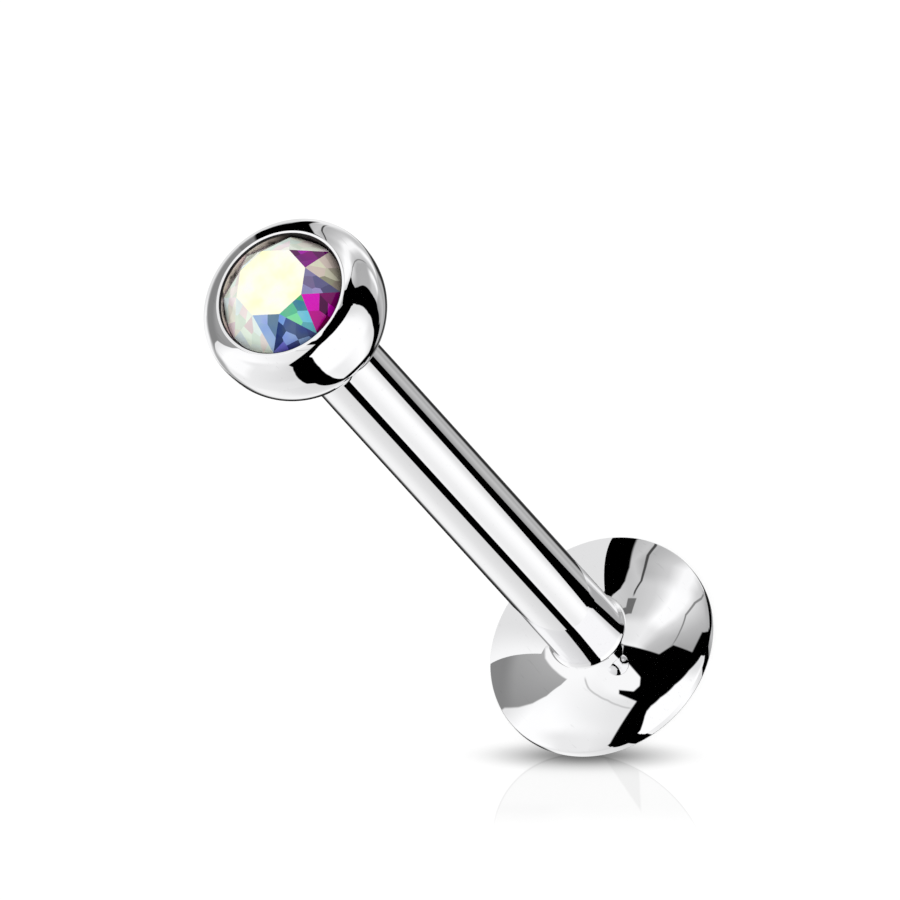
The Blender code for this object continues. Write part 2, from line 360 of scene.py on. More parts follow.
REAR_SLIT = [(-20, 145), (0, 143.5), (15, 142.7), (25, 140.5), (35, 138.7), (42, 139.7)]
REAR_FLAG_START = [(-25, 150), (0, 151), (12, 149.3), (25, 147.3), (35, 147.3), (40, 149), (44, 154)]
REAR_FLAG_BOTTOM = [(150, -22), (155, -17), (160, -8), (170, -12), (174, -20)]
SIDE_SLIT = [(-12, 102), (0, 103.5), (15, 105.5), (25, 106), (35, 104.5), (44, 100), (52.5, 90), (60, 80)]
# Under this line, the left side is a little darker
LEFT_FALL = [(-115, 26), (-110, 33), (-103, 40), (-96, 46), (-88, 50), (-80, 53), (-70, 55), (-60, 57)]
# A thin grey seam high on the left
SKY_LINE = [(-130, 68.5), (-110, 69), (-90, 71), (-70, 71.8), (-50, 70.5), (-30, 68)]

# Overhead, edges are straight. Each is a plane through the stud, as (across, front, up): a direction is on
# its inner side where across * x + front * -y is more than up * z.
LEFT_OPENING = [(-0.212, -1, -0.316), (-1, 0.39, 0.243)]
ZENITH_OPENING = [(-1, 0, -0.081), (0, -1, -0.24), (1.248, -1, -0.316), (-1.03, -1, -0.261)]
REAR_OPENING = [(-1, -1, 0.03), (-0.212, -1, -0.316)]
RIGHT_OPENING = [(-0.481, -1, -0.661), (1.11, -1, 0.533), (1, 0, 0.57)]
RIGHT_REAR_OPENING = [(0, -1, -0.108), (1.418, -1, 0.429)]

# How bright single parts of the studio show in polished steel
SEAM_LEVEL = 0.78
GREY_WALL_LEVELS = (0.52, 0.68)
SIDE_SLIT_LEVEL = 0.52
REAR_SLIT_LEVEL = 0.28
VENT_LEVEL = 0.42
ZENITH_LEVEL = 0.97
MAIN_SCREEN_LEVELS = (1.0, 0.87)

# How bright the walls and screens show, by azimuth, near the floor, upright and overhead. The last three
# tables count azimuth from the strip lamp's centre.
LEFT_FOOT = [
    (-180, 0.16), (-142, 0.16), (-134, 0.55), (-127, 0.93), (-110, 0.96), (-95, 0.94), (-75, 0.89),
    (-46, 0.85),
]
LEFT_LOW = [
    (-180, 0.80), (-166, 0.90), (-160, 0.97), (-142, 0.97), (-134, 0.66), (-124, 0.66), (-117, 0.94),
    (-50, 0.88),
]
LEFT_UPRIGHT = [(-132, 0.90), (-122, 1.0), (-100, 0.99), (-92, 0.92), (-50, 0.85)]
LEFT_HIGH = [(-132, 0.97), (-115, 1.0), (-75, 1.0), (-55, 0.93), (-45, 0.90)]
LEFT_OVERHEAD = [(-132, 0.98), (-100, 0.95), (-60, 0.91), (-20, 0.89)]
LEFT_FALL_SHARE = 0.82
FRONT_FOOT = [
    (-24, 0.96), (-10, 0.93), (0, 0.94), (12, 0.975), (25, 1.0), (34, 0.995), (42, 0.945), (50, 0.885),
    (57, 0.87),
]
RIGHT_FOOT = [
    (76, 0.55), (84, 0.63), (90, 0.68), (101, 0.75), (112, 0.66), (122, 0.72), (127, 0.62), (133, 0.17),
    (150, 0.17), (165, 0.50), (180, 0.70),
]
RIGHT_LOW = [
    (74, 0.76), (86, 0.80), (92, 0.99), (95, 0.99), (99, 0.70), (106, 0.80), (111, 0.99), (115, 0.99),
    (122, 0.77), (134, 0.76), (146, 0.93), (170, 0.93), (180, 0.80),
]
RIGHT_UPRIGHT = [
    (-44, 0.69), (-20, 0.67), (-17, 0.72), (-9, 0.82), (-3, 0.98), (2, 0.98), (9, 0.81), (16, 0.74),
    (21, 0.70), (25, 0.78), (29, 0.74), (54, 0.50), (60, 0.46),
]
RIGHT_HIGH = [
    (-36, 0.63), (-28, 0.68), (-22, 0.72), (-16, 0.79), (-10, 0.86), (-5, 0.99), (5, 1.0), (11, 0.89),
    (16, 0.82), (23, 0.79), (32, 0.76), (42, 0.80), (70, 0.95),
]
RIGHT_OVERHEAD = [
    (-40, 0.70), (-25, 0.72), (-16, 0.76), (-5, 0.89), (5, 0.93), (15, 0.91), (40, 0.88), (70, 0.95),
]


def light(level):
    """The light that shows at this level in polished steel."""
    return linear(level) / STEEL_COLOUR[1]


def brightness(sums, azimuth, levels):
    """Light along the azimuths, from a table of levels."""
    return sums.ramp(azimuth, [(place, light(level)) for place, level in levels])


def left_level(sums, azimuth, elevation):
    """The grey wall and the bright screen on the left."""
    level = brightness(sums, azimuth, LEFT_UPRIGHT)
    fallen = sums.rise(sums.minus(elevation, sums.line(azimuth, LEFT_FALL)), -6.0, 3.0)
    high = sums.times(brightness(sums, azimuth, LEFT_HIGH), sums.mix(LEFT_FALL_SHARE, 1.0, fallen))
    level = sums.mix(level, high, sums.rise(elevation, 26.0, 40.0))
    level = sums.mix(level, brightness(sums, azimuth, LEFT_OVERHEAD), sums.rise(elevation, 40.0, 62.0))
    line = sums.minus(elevation, sums.line(azimuth, SKY_LINE))
    on_line = sums.both(sums.between(line, -0.5, 0.5, 0.8), sums.between(azimuth, -126.0, -30.0, 8.0))
    level = sums.mix(level, light(SEAM_LEVEL), on_line)
    dark, pale = (light(level) for level in GREY_WALL_LEVELS)
    grey = sums.mix(dark, pale, sums.over(elevation, 60.0))
    grey = sums.times(grey, sums.add(1.0, sums.times(sums.minus(-137.0, azimuth), 0.011)))
    grey = sums.mix(dark, grey, sums.rise(elevation, 10.0, 24.0))
    wall = sums.both(
        sums.below(azimuth, sums.line(elevation, WALL_EDGE), 1.2),
        sums.below(elevation, sums.line(azimuth, WALL_TOP), 2.0),
    )
    level = sums.mix(level, grey, wall)
    foot = brightness(sums, azimuth, LEFT_FOOT)
    low = sums.mix(foot, brightness(sums, azimuth, LEFT_LOW), sums.rise(elevation, -52.0, -44.0))
    return sums.mix(low, level, sums.rise(elevation, -22.0, -3.0))


def right_level(sums, azimuth, elevation):
    """The wall with its strip lamp and slits on the right, and the rear flag."""
    from_strip = sums.minus(azimuth, sums.line(elevation, STRIP_CENTRE))
    level = brightness(sums, from_strip, RIGHT_UPRIGHT)
    level = sums.mix(level, brightness(sums, from_strip, RIGHT_HIGH), sums.rise(elevation, 28.0, 38.0))
    level = sums.mix(level, brightness(sums, from_strip, RIGHT_OVERHEAD), sums.rise(elevation, 56.0, 64.0))
    side = sums.minus(azimuth, sums.line(elevation, SIDE_SLIT))
    slit = sums.both(sums.between(side, -0.7, 0.7, 0.7), sums.between(elevation, -14.0, 60.0, 6.0))
    level = sums.mix(level, light(SIDE_SLIT_LEVEL), slit)
    rear = sums.minus(azimuth, sums.line(elevation, REAR_SLIT))
    rear_slit = sums.both(sums.between(rear, -0.6, 0.6, 0.5), sums.between(elevation, -20.0, 45.0, 4.0))
    level = sums.mix(level, light(REAR_SLIT_LEVEL), rear_slit)
    vent = sums.both(sums.between(azimuth, 137.0, 143.0, 0.8), sums.between(elevation, 47.0, 57.0, 1.0))
    level = sums.mix(level, light(VENT_LEVEL), vent)
    foot = brightness(sums, azimuth, RIGHT_FOOT)
    low = sums.mix(foot, brightness(sums, azimuth, RIGHT_LOW), sums.rise(elevation, -52.0, -44.0))
    level = sums.mix(low, level, sums.rise(elevation, -24.0, -4.0))
    flag = sums.both(
        sums.above(azimuth, sums.line(elevation, REAR_FLAG_START), 1.0),
        sums.below(azimuth, 174.0, 1.5),
        sums.below(elevation, 43.0, 1.5),
        sums.above(elevation, sums.line(azimuth, REAR_FLAG_BOTTOM), 2.0),
    )
    return sums.mix(level, 0.0, flag)


def front_level(sums, azimuth, elevation):
    """The main screen in front, which fades a little towards its right end and its foot."""
    full, faded = (light(level) for level in MAIN_SCREEN_LEVELS)
    level = sums.mix(full, faded, sums.rise(azimuth, 38.0, 56.0))
    return sums.mix(brightness(sums, azimuth, FRONT_FOOT), level, sums.rise(elevation, -52.0, -30.0))


def opening(sums, x, front, z, planes):
    """1 inside all of these planes, and 0 outside."""
    masks = []
    for across, ahead, up in planes:
        reach = sums.minus(sums.add(sums.times(x, across), sums.times(front, ahead)), sums.times(z, up))
        size = math.sqrt(across**2 + ahead**2 + up**2)
        masks.append(sums.above(reach, 0.0, 0.016 * size))
    return sums.both(*masks)


def studio_level(sums, direction):
    """How bright the studio is in a direction, as polished steel sees it."""
    split = sums.node("ShaderNodeSeparateXYZ")
    sums.feed(split.inputs[0], direction)
    x, y, z = split.outputs
    front = sums.times(y, -1.0)
    azimuth = sums.maths("DEGREES", sums.maths("ARCTAN2", x, front))
    elevation = sums.maths("DEGREES", sums.maths("ARCSINE", z))

    left = left_level(sums, azimuth, elevation)
    right = right_level(sums, azimuth, elevation)
    level = sums.mix(left, right, sums.above(azimuth, 20.0, 1.0))
    level = sums.mix(level, light(ZENITH_LEVEL), sums.rise(elevation, 72.0, 78.0))

    flags = sums.both(
        sums.above(azimuth, sums.line(elevation, LEFT_SCREEN_END), 1.2),
        sums.below(azimuth, sums.line(elevation, RIGHT_WALL_START), 1.2),
    )
    open_sky = 0.0
    for planes in (LEFT_OPENING, ZENITH_OPENING, REAR_OPENING, RIGHT_OPENING, RIGHT_REAR_OPENING):
        open_sky = sums.maths("MAXIMUM", open_sky, opening(sums, x, front, z, planes))
    overhead = sums.above(elevation, sums.mix(47.0, 42.0, sums.above(azimuth, 20.0, 1.0)), 0.5)
    level = sums.mix(level, 0.0, sums.mix(flags, sums.minus(1.0, open_sky), overhead))

    main_screen = sums.both(
        sums.above(azimuth, sums.line(elevation, MAIN_SCREEN_START), 1.2),
        sums.below(azimuth, sums.line(elevation, MAIN_SCREEN_END), 1.2),
        sums.below(elevation, sums.line(azimuth, MAIN_SCREEN_TOP), 1.0),
    )
    level = sums.mix(level, front_level(sums, azimuth, elevation), main_screen)
    floor_flag = sums.both(sums.below(elevation, -77.0, 3.0), sums.above(azimuth, -30.0, 10.0))
    return sums.mix(level, 0.0, floor_flag)


def build_world():
    """White for the camera, even light for matt surfaces, and the studio's screens for polished ones."""
    world = bpy.data.worlds.new("studio")
    bpy.context.scene.world = world
    world.use_nodes = True
    tree = world.node_tree
    tree.nodes.clear()
    sums = Sums(tree)
    place = sums.node("ShaderNodeTexCoord")
    level = studio_level(sums, place.outputs["Generated"])
    path = sums.node("ShaderNodeLightPath")
    strength = sums.mix(ROOM_LIGHT, level, path.outputs["Is Glossy Ray"])
    strength = sums.mix(strength, 1.0, path.outputs["Is Camera Ray"])
    background = sums.node("ShaderNodeBackground")
    background.inputs["Color"].default_value = (1, 1, 1, 1)
    sums.feed(background.inputs["Strength"], strength)
    out = sums.node("ShaderNodeOutputWorld")
    sums.feed(out.inputs["Surface"], background.outputs[0])


def arc(centre_r, centre_z, radius, start, end, steps=ARC_STEPS):
    """Points (r, z) along an arc of a profile, from one angle to another."""
    angles = [start + (end - start) * i / steps for i in range(steps + 1)]
    return [(centre_r + radius * math.cos(a), centre_z + radius * math.sin(a)) for a in angles]


def superellipse(radius, height, exponent, centre_z, start_radius, end_radius, steps):
    """Points (r, z) along a quarter of a superellipse. A minus height gives the lower quarter."""
    start = math.acos(min(1.0, (start_radius / radius) ** (exponent / 2)))
    end = math.acos(min(1.0, (end_radius / radius) ** (exponent / 2)))
    angles = [start + (end - start) * i / steps for i in range(steps + 1)]
    power = 2 / exponent
    across = [radius * math.cos(a) ** power for a in angles]
    up = [height * max(0.0, math.sin(a)) ** power for a in angles]
    return [(r, centre_z + z) for r, z in zip(across, up)]


def share_of_height(radius, full_radius, exponent):
    return (1 - (radius / full_radius) ** exponent) ** (1 / exponent)


def turned(name, profile):
    """A fine solid of revolution about +Z, as a mesh. The profile runs down its outer side."""
    mesh = bpy.data.meshes.new(name)
    points = [(r, 0, z) for r, z in profile]
    mesh.from_pydata(points, [(i, i + 1) for i in range(len(points) - 1)], [])
    guide = bpy.data.objects.new(name, mesh)
    bpy.context.scene.collection.objects.link(guide)
    screw = guide.modifiers.new("Turn", "SCREW")
    screw.steps = TURN_STEPS
    screw.render_steps = TURN_STEPS
    screw.use_merge_vertices = True
    screw.merge_threshold = MERGE
    screw.use_smooth_shade = True
    return guide


def settled(guide):
    """The object with its modifiers applied, smooth but for sharp edges."""
    graph = bpy.context.evaluated_depsgraph_get()
    mesh = bpy.data.meshes.new_from_object(guide.evaluated_get(graph))
    mesh.name = guide.name
    guide.modifiers.clear()
    guide.data = mesh
    mesh.shade_smooth()
    mesh.set_sharp_from_angle(angle=SHARP_ANGLE)
    return guide


class Stud:
    """The stud's places along its axis, worked out from the frame's boxes and the sizes above."""

    def __init__(self):
        self.post_radius = POST_DIAMETER / 2
        self.bore_radius = BORE_DIAMETER / 2
        self.lip_radius = LIP_THICKNESS / 2
        self.rim_radius = RIM_DIAMETER / 2
        self.stem_radius = self.bore_radius - STEM_GAP
        self.socket_radius = PIN_DIAMETER / 2 + PIN_GAP
        self.stone_radius = self.rim_radius - self.lip_radius - STONE_GAP
        post_low, post_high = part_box("post_and_disc")
        ball_low, ball_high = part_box("ball_setting")
        self.disc_radius = (post_high.x - post_low.x) / 2
        self.mouth_height = post_high.z
        self.ball_radius = (ball_high.x - ball_low.x) / 2
        self.rim_height = ball_high.z
        self.seat_height = self.mouth_height + SEAT_GAP
        self.equator_height = self.rim_height - BALL_RIM_HEIGHT
        self.girdle_height = self.rim_height - GIRDLE_DROP
        self.stem_end = self.seat_height - STEM_LENGTH


def post_profile(stud):
    """From the bore's floor up to the mouth, down the post, over the dome and edge, and along the back."""
    edge_r = stud.disc_radius - EDGE_ROUND
    edge_top = DISC_EDGE - EDGE_ROUND
    dome_end = math.pi / 2 - math.asin(edge_r / (DOME_RADIUS - EDGE_ROUND))
    dome_centre = edge_top - (DOME_RADIUS - EDGE_ROUND) * math.sin(dome_end)
    fillet_r = stud.post_radius + FOOT_FILLET
    fillet_z = dome_centre + math.sqrt((DOME_RADIUS + FOOT_FILLET) ** 2 - fillet_r**2)
    dome_start = math.atan2(fillet_z - dome_centre, fillet_r)
    mouth = stud.mouth_height
    bore_floor = mouth - STEM_LENGTH - PIN_REACH - BORE_RUN_OUT
    ends = [(0, bore_floor), (stud.bore_radius, bore_floor), (stud.bore_radius, mouth - MOUTH_CHAMFER)]
    round_z = mouth - MOUTH_CHAMFER
    inner_r = stud.bore_radius + MOUTH_CHAMFER
    inner = arc(inner_r, round_z, MOUTH_CHAMFER, math.pi, math.pi / 2, SMALL_ARC_STEPS)
    outer_r = stud.post_radius - MOUTH_CHAMFER
    outer = arc(outer_r, round_z, MOUTH_CHAMFER, math.pi / 2, 0, SMALL_ARC_STEPS)
    fillet = arc(fillet_r, fillet_z, FOOT_FILLET, math.pi, math.pi + dome_start)
    dome = arc(0, dome_centre, DOME_RADIUS, dome_start, dome_end)
    edge = arc(edge_r, edge_top, EDGE_ROUND, dome_end, 0, SMALL_ARC_STEPS)
    back_edge = arc(edge_r, EDGE_ROUND, EDGE_ROUND, 0, -math.pi / 2, SMALL_ARC_STEPS)
    return ends + inner[1:] + outer + fillet + dome[1:] + edge[1:] + back_edge + [(0, 0)]


def ball_profile(stud):
    """From the recess's floor up to the lip, down the ball's outline, down the stem, and up its socket."""
    corner = 1 / math.cos(math.pi / STONE_SIDES)
    culet_radius = CULET_DIAMETER / 2
    slope = (stud.stone_radius - culet_radius) / PAVILION_DEPTH
    girdle_low = stud.girdle_height - GIRDLE_THICKNESS
    wall_r = stud.rim_radius - stud.lip_radius
    cone_start = girdle_low - stud.stone_radius * (1 - 1 / corner) / slope
    floor_r = culet_radius * corner + STONE_GAP
    floor_z = girdle_low - PAVILION_DEPTH - STONE_GAP
    lip_end = stud.rim_radius + stud.lip_radius
    high_half = BALL_RIM_HEIGHT / share_of_height(lip_end, stud.ball_radius, HIGH_SHAPE)
    recess = [(0, floor_z), (floor_r, floor_z), (wall_r, cone_start)]
    lip_z = stud.rim_height - stud.lip_radius
    inner_lip = arc(stud.rim_radius, lip_z, stud.lip_radius, math.pi, math.pi / 2, LIP_STEPS)
    foot_r = stud.rim_radius + LIP_LAND
    foot_drop = stud.rim_height - (
        stud.equator_height + high_half * share_of_height(foot_r, stud.ball_radius, HIGH_SHAPE)
    )
    crown = (LIP_LAND**2 + foot_drop**2) / (2 * foot_drop)
    land_end = math.acos(LIP_LAND / crown)
    land = arc(stud.rim_radius, stud.rim_height - crown, crown, math.pi / 2, land_end, LAND_STEPS)
    shoulder = superellipse(
        stud.ball_radius, high_half, HIGH_SHAPE, stud.equator_height, foot_r, stud.ball_radius, 2 * ARC_STEPS
    )
    belly = superellipse(
        stud.ball_radius, -BALL_LOW_HALF, LOW_SHAPE, stud.equator_height, stud.ball_radius, stud.post_radius,
        2 * ARC_STEPS,
    )
    stem = [
        (stud.stem_radius, stud.seat_height),
        (stud.stem_radius, stud.stem_end + STEM_CHAMFER),
        (stud.stem_radius - STEM_CHAMFER, stud.stem_end),
        (stud.socket_radius, stud.stem_end),
        (stud.socket_radius, stud.stem_end + SOCKET_DEPTH),
        (0, stud.stem_end + SOCKET_DEPTH),
    ]
    return recess + inner_lip + land[1:] + shoulder[1:] + belly[1:] + stem


def shade_recess(stud, mesh):
    """Gives the recess's floor, its wall and the lip's inner side the second material, which paints shade
    there.
    """
    lip_foot = stud.rim_height - stud.lip_radius
    wall_r = stud.rim_radius - SHADE_INSET * stud.lip_radius
    floor_z = stud.girdle_height - GIRDLE_THICKNESS - PAVILION_DEPTH - 2 * STONE_GAP
    for face in mesh.polygons:
        inside = math.hypot(face.center.x, face.center.y) < wall_r
        if inside and floor_z < face.center.z < lip_foot + SHADE_RISE * stud.lip_radius:
            face.material_index = 1


def cut_nick(stud, ball):
    """Cuts the small round nick into the stem's side."""
    mesh = bpy.data.meshes.new("nick_cutter")
    shape = bmesh.new()
    bmesh.ops.create_cone(
        shape,
        cap_ends=True,
        segments=32,
        radius1=NICK_DIAMETER / 2,
        radius2=NICK_DIAMETER / 2,
        depth=2 * NICK_DIAMETER,
        matrix=Matrix.Rotation(math.pi / 2, 4, "Y"),
    )
    shape.to_mesh(mesh)
    shape.free()
    cutter = bpy.data.objects.new("nick_cutter", mesh)
    bpy.context.scene.collection.objects.link(cutter)
    centre_r = stud.stem_radius - NICK_DEPTH + NICK_DIAMETER
    centre_z = stud.seat_height - NICK_SHARE_DOWN * STEM_LENGTH
    cutter.location = (centre_r * math.cos(NICK_AZIMUTH), centre_r * math.sin(NICK_AZIMUTH), centre_z)
    cutter.rotation_euler.z = NICK_AZIMUTH
    cut = ball.modifiers.new("Nick", "BOOLEAN")
    cut.operation = "DIFFERENCE"
    cut.solver = "EXACT"
    cut.object = cutter
    settled(ball)
    bpy.data.objects.remove(cutter)


def bow(stud, share):
    """How far the pin's middle line leaves the axis, at a share of its reach below the stem."""
    peak = stud.bore_radius - PIN_DIAMETER / 2 - PIN_GAP
    end = stud.bore_radius - TIP_DIAMETER / 2 - PIN_GAP
    if share < BOW_PEAK_SHARE:
        return peak * (1 - math.cos(math.pi * share / BOW_PEAK_SHARE)) / 2
    past = (share - BOW_PEAK_SHARE) / (1 - BOW_PEAK_SHARE)
    return peak - (peak + end) * (1 - math.cos(math.pi / 2 * past))


def build_pin(stud):
    """The bowed wire with its thicker, round-ended tip."""
    pin_radius, tip_radius = PIN_DIAMETER / 2, TIP_DIAMETER / 2
    taper = tip_radius / 2
    curve = bpy.data.curves.new("bowed_wire_pin", "CURVE")
    curve.dimensions = "3D"
    curve.bevel_depth = pin_radius
    curve.bevel_resolution = 14
    curve.use_fill_caps = True
    depths = [-(SOCKET_DEPTH - PIN_GAP)] + [PIN_REACH * i / PIN_STEPS for i in range(PIN_STEPS + 1)]
    spline = curve.splines.new("POLY")
    spline.points.add(len(depths) - 1)
    for point, depth in zip(spline.points, depths):
        off = bow(stud, depth / PIN_REACH) if depth > 0 else 0.0
        swell = min(1.0, max(0.0, (depth - PIN_REACH + TIP_LENGTH) / taper))
        left = min(1.0, (PIN_REACH - depth) / taper)
        rounding = math.sqrt(1 - (1 - left) ** 2 / 2)
        radius = (pin_radius + (tip_radius - pin_radius) * swell) * rounding
        point.co = (off, 0, stud.stem_end - depth, 1)
        point.radius = radius / pin_radius
    pin = bpy.data.objects.new("bowed_wire_pin", curve)
    bpy.context.scene.collection.objects.link(pin)
    graph = bpy.context.evaluated_depsgraph_get()
    mesh = bpy.data.meshes.new_from_object(pin.evaluated_get(graph))
    bpy.data.objects.remove(pin)
    shape = bmesh.new()
    shape.from_mesh(mesh)
    bmesh.ops.remove_doubles(shape, verts=shape.verts, dist=MERGE)
    bmesh.ops.recalc_face_normals(shape, faces=shape.faces)
    shape.to_mesh(mesh)
    shape.free()
    mesh.shade_smooth()
    mesh.set_sharp_from_angle(angle=SHARP_ANGLE)
    made = bpy.data.objects.new("bowed_wire_pin", mesh)
    bpy.context.scene.collection.objects.link(made)
    return made


def ring_of_points(radius, height, turn):
    """Eight points at a radius and a height, turned on by a share of one side."""
    step = 2 * math.pi / STONE_SIDES
    angles = [(i + turn) * step for i in range(STONE_SIDES)]
    return [Vector((radius * math.cos(a), radius * math.sin(a), height)) for a in angles]


def crown_facet(planes, place):
    """The crown facet over a place: of all the facets' planes, the lowest one there."""
    def height(plane):
        point, normal = plane
        return point.z - ((place.x - point.x) * normal.x + (place.y - point.y) * normal.y) / normal.z

    return min(range(len(planes)), key=lambda index: height(planes[index]))


def aurora_spots(planes, radius):
    """The spots of each crown facet's patches, with tints drawn from the facet's family."""
    draw = random.Random(PATCH_SEED)
    spots = [[] for _ in planes]
    for reach, count in PATCH_RINGS:
        for i in range(count):
            turn = 2 * math.pi * (i + draw.uniform(-PATCH_SWAY, PATCH_SWAY)) / count
            away = (reach + draw.uniform(-PATCH_REACH_SWAY, PATCH_REACH_SWAY)) * radius
            place = Vector((away * math.cos(turn), away * math.sin(turn), 0))
            facet = crown_facet(planes, place)
            hue, stray, saturation, dark, bright = AURORA_FAMILIES.get(facet - 1, PALE_FAMILY)
            share = draw.random()
            hue += stray * draw.uniform(-1, 1)
            depth = saturation * (DARK_SATURATION - SATURATION_DROP * share)
            tint = colorsys.hsv_to_rgb(hue / 360 % 1, depth, dark + (bright - dark) * share)
            if facet > 0:
                spots[facet].append((place, shown(*(255 * channel for channel in tint))))
    return spots


def paint_patches(shape, planes, radius):
    """Cuts each crown facet into its patches, and gives every face the tint of its patch, a painted
    reflection.
    """
    spots = aurora_spots(planes, radius)
    layer = shape.loops.layers.float_color.new("aurora_painted_reflection")
    for (_, normal), facet_spots in zip(planes, spots):
        for one, other in itertools.combinations(facet_spots, 2):
            faces = [face for face in shape.faces if face.normal.dot(normal) > SAME_FACET]
            edges = {edge for face in faces for edge in face.edges}
            verts = {vert for face in faces for vert in face.verts}
            bmesh.ops.bisect_plane(
                shape,
                geom=[*verts, *edges, *faces],
                dist=MERGE / 100,
                plane_co=(one[0] + other[0]) / 2,
                plane_no=(other[0] - one[0]).normalized(),
            )
            shape.normal_update()
    for face in shape.faces:
        tint = shown(*(TABLE_TINT if face.normal.z > SAME_FACET else PAVILION_TINT))
        for (_, normal), facet_spots in zip(planes, spots):
            if facet_spots and face.normal.dot(normal) > SAME_FACET:
                middle = face.calc_center_median()
                middle.z = 0
                tint = min(facet_spots, key=lambda spot: (spot[0] - middle).length)[1]
        for corner in face.loops:
            corner[layer] = tint


def build_stone(stud):
    """The round stone: a table, eight stars, eight kites and eight pavilion facets."""
    table = ring_of_points(TABLE_DIAMETER / 2, CROWN_HEIGHT, -0.5)
    girdle = ring_of_points(stud.stone_radius, 0, 0)
    outward = ring_of_points(1, 0, 0)
    bottom = -GIRDLE_THICKNESS - PAVILION_DEPTH
    shape = bmesh.new()
    bmesh.ops.create_cone(
        shape,
        cap_ends=True,
        segments=96,
        radius1=stud.stone_radius,
        radius2=stud.stone_radius,
        depth=CROWN_HEIGHT - bottom,
        matrix=Matrix.Translation((0, 0, (CROWN_HEIGHT + bottom) / 2)),
    )
    crown = [(table[0], Vector((0, 0, 1)))]
    pavilion = []
    for i in range(STONE_SIDES):
        following = (i + 1) % STONE_SIDES
        star = (table[following] - girdle[i]).cross(table[i] - girdle[i]).normalized()
        kite = (girdle[following] - table[following]).cross(girdle[i] - table[following]).normalized()
        below = outward[i] * PAVILION_DEPTH - Vector((0, 0, stud.stone_radius - CULET_DIAMETER / 2))
        crown.append((girdle[i], star if star.z > 0 else -star))
        crown.append((table[following], kite if kite.z > 0 else -kite))
        pavilion.append((girdle[i] - Vector((0, 0, GIRDLE_THICKNESS)), below.normalized()))
    for point, normal in crown[1:] + pavilion:
        cut = bmesh.ops.bisect_plane(
            shape,
            geom=shape.verts[:] + shape.edges[:] + shape.faces[:],
            dist=MERGE / 10,
            plane_co=point,
            plane_no=normal,
            clear_outer=True,
        )
        rim = [piece for piece in cut["geom_cut"] if isinstance(piece, bmesh.types.BMEdge)]
        bmesh.ops.edgeloop_fill(shape, edges=rim)
    bmesh.ops.remove_doubles(shape, verts=shape.verts, dist=4 * MERGE)
    bmesh.ops.recalc_face_normals(shape, faces=shape.faces)
    paint_patches(shape, crown, stud.stone_radius)
    mesh = bpy.data.meshes.new("aurora_stone")
    shape.to_mesh(mesh)
    shape.free()
    stone = bpy.data.objects.new("aurora_stone", mesh)
    bpy.context.scene.collection.objects.link(stone)
    stone.location = (0, 0, stud.girdle_height)
    return stone


def new_material(name):
    made = bpy.data.materials.new(name)
    made.use_nodes = True
    return made, made.node_tree, made.node_tree.nodes["Principled BSDF"]


def polished_steel(sums, shader, roughness):
    """Gives steel a mirror polish, slightly cloudy, with hairline scratches. Returns its colour."""
    place = sums.node("ShaderNodeTexCoord").outputs["Object"]
    cloud = sums.node("ShaderNodeTexNoise")
    sums.feed(cloud.inputs["Vector"], place)
    cloud.inputs["Scale"].default_value = POLISH_SCALE
    cloud.inputs["Detail"].default_value = 4.0
    stretch = sums.node("ShaderNodeMapping")
    sums.feed(stretch.inputs["Vector"], place)
    stretch.inputs["Rotation"].default_value = (0.6, 0.4, 1.1)
    stretch.inputs["Scale"].default_value = (1.0, 0.05, 1.0)
    hair = sums.node("ShaderNodeTexNoise")
    sums.feed(hair.inputs["Vector"], stretch.outputs["Vector"])
    hair.inputs["Scale"].default_value = SCRATCH_SCALE
    hair.inputs["Detail"].default_value = 2.0
    scratch = sums.rise(hair.outputs["Fac"], 0.66, 0.74)
    haze = sums.times(sums.minus(cloud.outputs["Fac"], 0.5), 0.5 * roughness)
    wear = sums.add(haze, sums.times(scratch, SCRATCH_ROUGHNESS))
    sums.feed(shader.inputs["Roughness"], sums.add(roughness, wear))
    shader.inputs["Metallic"].default_value = 1.0
    colour = sums.node("ShaderNodeMix", data_type="RGBA")
    colour.inputs["A"].default_value = (*STEEL_COLOUR, 1)
    colour.inputs["B"].default_value = (*SCRATCHED_COLOUR, 1)
    sums.feed(colour.inputs["Factor"], sums.times(scratch, sums.add(0.5, cloud.outputs["Fac"])))
    return colour.outputs["Result"]


def plain_polish():
    """Polished steel all over."""
    made, tree, shader = new_material("polished_steel")
    sums = Sums(tree)
    sums.feed(shader.inputs["Base Color"], polished_steel(sums, shader, POLISH_ROUGHNESS))
    return made


